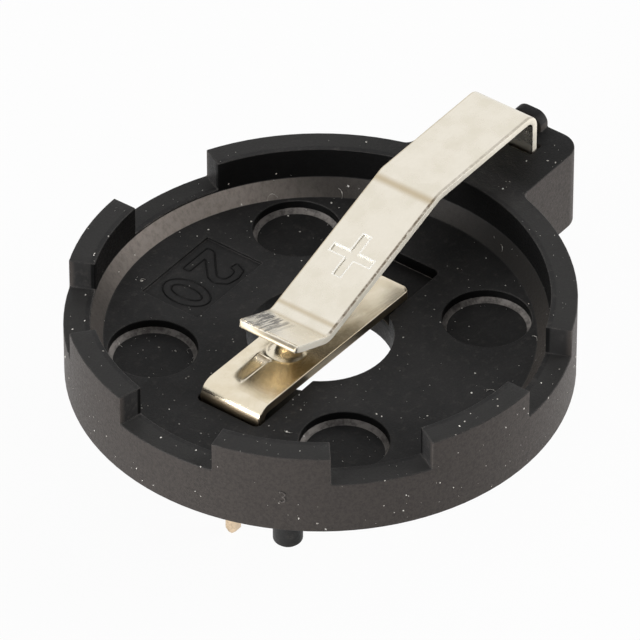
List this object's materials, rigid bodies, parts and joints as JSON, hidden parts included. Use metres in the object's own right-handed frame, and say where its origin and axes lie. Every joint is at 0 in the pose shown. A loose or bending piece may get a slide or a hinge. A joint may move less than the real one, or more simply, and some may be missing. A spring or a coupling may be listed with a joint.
{
  "type": "coin cell holder",
  "caption": "Round through-hole holder for a coin cell: a moulded cup with a notched rim, a bent spring clip over it and a contact strip in its floor.",
  "frame": {"origin": "the cup's centre, on the face that lies on the circuit board", "axes": "+X towards the tab that carries the clip, +Z away from the board"},
  "size_m": [0.0284, 0.0238, 0.012],
  "materials": {
    "housing_plastic": "fine moulded matt, dark grey",
    "clip_metal": "dull tin plate on spring strip, fine rolling marks",
    "contact_metal": "dull tin plate on spring strip, worn warm at the bend"
  },
  "bodies": {
    "root": {"housing": "housing_plastic", "positive_clip": "clip_metal", "negative_contact": "contact_metal"}
  },
  "joints": []
}
